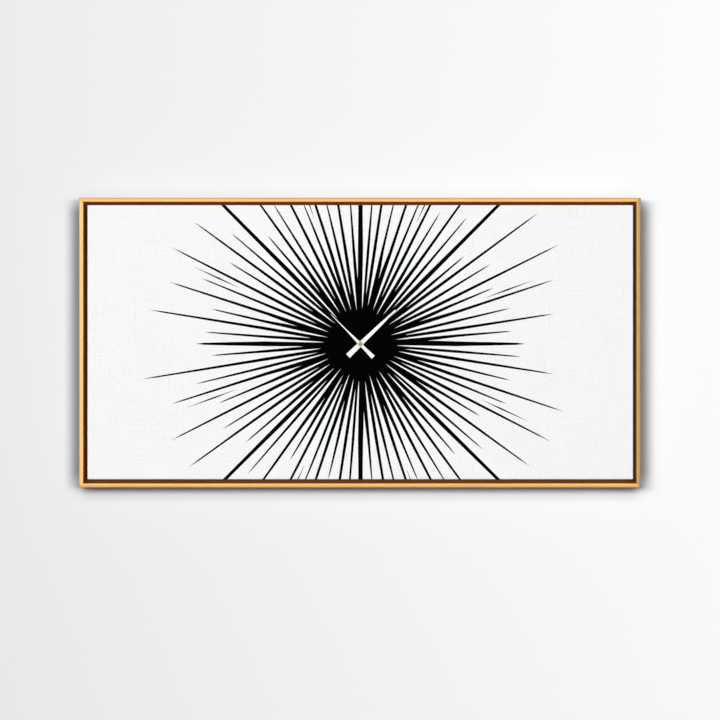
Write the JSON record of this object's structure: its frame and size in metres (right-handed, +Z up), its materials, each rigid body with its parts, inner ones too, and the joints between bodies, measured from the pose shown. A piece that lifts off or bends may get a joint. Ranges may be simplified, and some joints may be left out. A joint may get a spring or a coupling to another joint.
{
  "type": "wall clock",
  "caption": "Wide wall clock: a printed sunburst canvas in a gold floater frame, two tapered hands on its centre and a quartz movement behind.",
  "frame": {"origin": "on the wall plane, straight behind the axis of the hands", "axes": "+X along the clock's width to the right as seen from the front, +Y into the wall, +Z up; the dial faces -Y"},
  "size_m": [1.0414, 0.0556, 0.5374],
  "materials": {
    "gold_frame": "satin gold wash over open-grain wood, dark brown recess",
    "pine": "planed, unfinished",
    "hardboard": "smooth face, unfinished",
    "canvas_print": "woven canvas, matte print",
    "zinc_steel": "bright zinc plate",
    "contact_steel": "nickel-plated spring strip",
    "brass": "turned",
    "cap_nut_gold": "polished",
    "black_metal": "satin black",
    "white_hand": "satin white paint on pressed aluminium",
    "black_rubber": "matte",
    "bumper_rubber": "matte",
    "case_plastic": "fine moulded texture",
    "gear_acetal": "natural moulded",
    "gear_plate_plastic": "moulded",
    "magnet": "bonded magnet on a moulded arbor",
    "lamination": "stamped soft iron",
    "bobbin_plastic": "moulded",
    "enamelled_copper": "layer-wound enamelled wire",
    "circuit_board": "solder mask",
    "crystal_can": "polished can",
    "battery_sleeve": "plain shrink sleeve",
    "knob_plastic": "fluted"
  },
  "bodies": {
    "clock_body": {"battery": "battery_sleeve", "brace_left": "pine", "brace_right": "pine", "bumper_left": "bumper_rubber", "bumper_right": "bumper_rubber", "canvas": "canvas_print", "case_back": "case_plastic", "case_front_plate": "case_plastic", "circuit_board": "circuit_board", "coil_bobbin": "bobbin_plastic", "coil_core": "lamination", "coil_winding": "enamelled_copper", "contact_negative": "contact_steel", "contact_positive": "contact_steel", "crystal": "crystal_can", "flat_washer": "black_metal", "frame_bottom_rail": "gold_frame", "frame_left_rail": "gold_frame", "frame_right_rail": "gold_frame", "frame_screw_bottom_left": "zinc_steel", "frame_screw_bottom_right": "zinc_steel", "frame_screw_left": "zinc_steel", "frame_screw_right": "zinc_steel", "frame_screw_top_left": "zinc_steel", "frame_screw_top_right": "zinc_steel", "frame_top_rail": "gold_frame", "gear_plate": "gear_plate_plastic", "hanger_screw_left": "zinc_steel", "hanger_screw_right": "zinc_steel", "hanger_strap_left": "zinc_steel", "hanger_strap_right": "zinc_steel", "mounting_nut": "black_metal", "movement_board": "hardboard", "rubber_washer": "black_rubber", "stator": "lamination", "stretcher_bottom": "pine", "stretcher_left": "pine", "stretcher_right": "pine", "stretcher_top": "pine", "threaded_bush": "brass", "v_nail_bottom_left": "zinc_steel", "v_nail_bottom_right": "zinc_steel", "v_nail_top_left": "zinc_steel", "v_nail_top_right": "zinc_steel"},
    "minute_hand_body": {"minute_arbor": "brass", "minute_hand": "white_hand", "cap_nut": "cap_nut_gold"},
    "hour_hand_body": {"hour_wheel": "brass", "hour_hand": "white_hand"},
    "motion_wheel_body": {"motion_wheel": "gear_acetal"},
    "setting_body": {"setting_shaft": "gear_acetal", "setting_knob": "knob_plastic"},
    "centre_wheel_body": {"centre_wheel": "gear_acetal"},
    "third_wheel_body": {"third_wheel": "gear_acetal"},
    "seconds_wheel_body": {"seconds_wheel": "gear_acetal"},
    "intermediate_wheel_body": {"intermediate_wheel": "gear_acetal"},
    "rotor_body": {"rotor": "magnet"},
    "d_ring_left_body": {"d_ring_left": "zinc_steel"},
    "d_ring_right_body": {"d_ring_right": "zinc_steel"}
  },
  "joints": [
    {"name": "minute_hand_turn", "type": "hinge", "parent": "clock_body", "child": "minute_hand_body", "pos_m": [0, -0.03, 0], "axis": [0, 1, 0], "continuous": true},
    {"name": "hour_hand_turn", "type": "hinge", "parent": "clock_body", "child": "hour_hand_body", "pos_m": [0, -0.03, 0], "axis": [0, 1, 0], "continuous": true},
    {"name": "motion_wheel_turn", "type": "hinge", "parent": "clock_body", "child": "motion_wheel_body", "pos_m": [-0.009, -0.03, 0], "axis": [0, 1, 0], "continuous": true},
    {"name": "setting_knob_turn", "type": "hinge", "parent": "clock_body", "child": "setting_body", "pos_m": [-0.01786, -0.03, -0.00156], "axis": [0, 1, 0], "continuous": true},
    {"name": "centre_wheel_turn", "type": "hinge", "parent": "clock_body", "child": "centre_wheel_body", "pos_m": [0, -0.03, 0], "axis": [0, 1, 0], "continuous": true},
    {"name": "third_wheel_turn", "type": "hinge", "parent": "clock_body", "child": "third_wheel_body", "pos_m": [0.01015, -0.03, 0.00369], "axis": [0, 1, 0], "continuous": true},
    {"name": "seconds_wheel_turn", "type": "hinge", "parent": "clock_body", "child": "seconds_wheel_body", "pos_m": [0, -0.03, 0], "axis": [0, 1, 0], "continuous": true},
    {"name": "intermediate_wheel_turn", "type": "hinge", "parent": "clock_body", "child": "intermediate_wheel_body", "pos_m": [-0.00873, -0.03, 0.00504], "axis": [0, 1, 0], "continuous": true},
    {"name": "rotor_turn", "type": "hinge", "parent": "clock_body", "child": "rotor_body", "pos_m": [-0.01257, -0.03, 0.01169], "axis": [0, 1, 0], "continuous": true},
    {"name": "d_ring_left_swing", "type": "hinge", "parent": "clock_body", "child": "d_ring_left_body", "pos_m": [-0.50765, -0.0027, 0.165], "axis": [1, 0, 0], "range_deg": [0, 180]},
    {"name": "d_ring_right_swing", "type": "hinge", "parent": "clock_body", "child": "d_ring_right_body", "pos_m": [0.50625, -0.0027, 0.165], "axis": [1, 0, 0], "range_deg": [0, 180]}
  ],
  "couplings": [
    {"joint": "hour_hand_turn", "follows": "minute_hand_turn", "ratio": 0.083333},
    {"joint": "motion_wheel_turn", "follows": "minute_hand_turn", "ratio": -0.33333},
    {"joint": "setting_knob_turn", "follows": "minute_hand_turn", "ratio": 1},
    {"joint": "centre_wheel_turn", "follows": "seconds_wheel_turn", "ratio": 0.016667},
    {"joint": "third_wheel_turn", "follows": "seconds_wheel_turn", "ratio": -0.13333},
    {"joint": "intermediate_wheel_turn", "follows": "seconds_wheel_turn", "ratio": -6},
    {"joint": "rotor_turn", "follows": "seconds_wheel_turn", "ratio": 30}
  ]
}
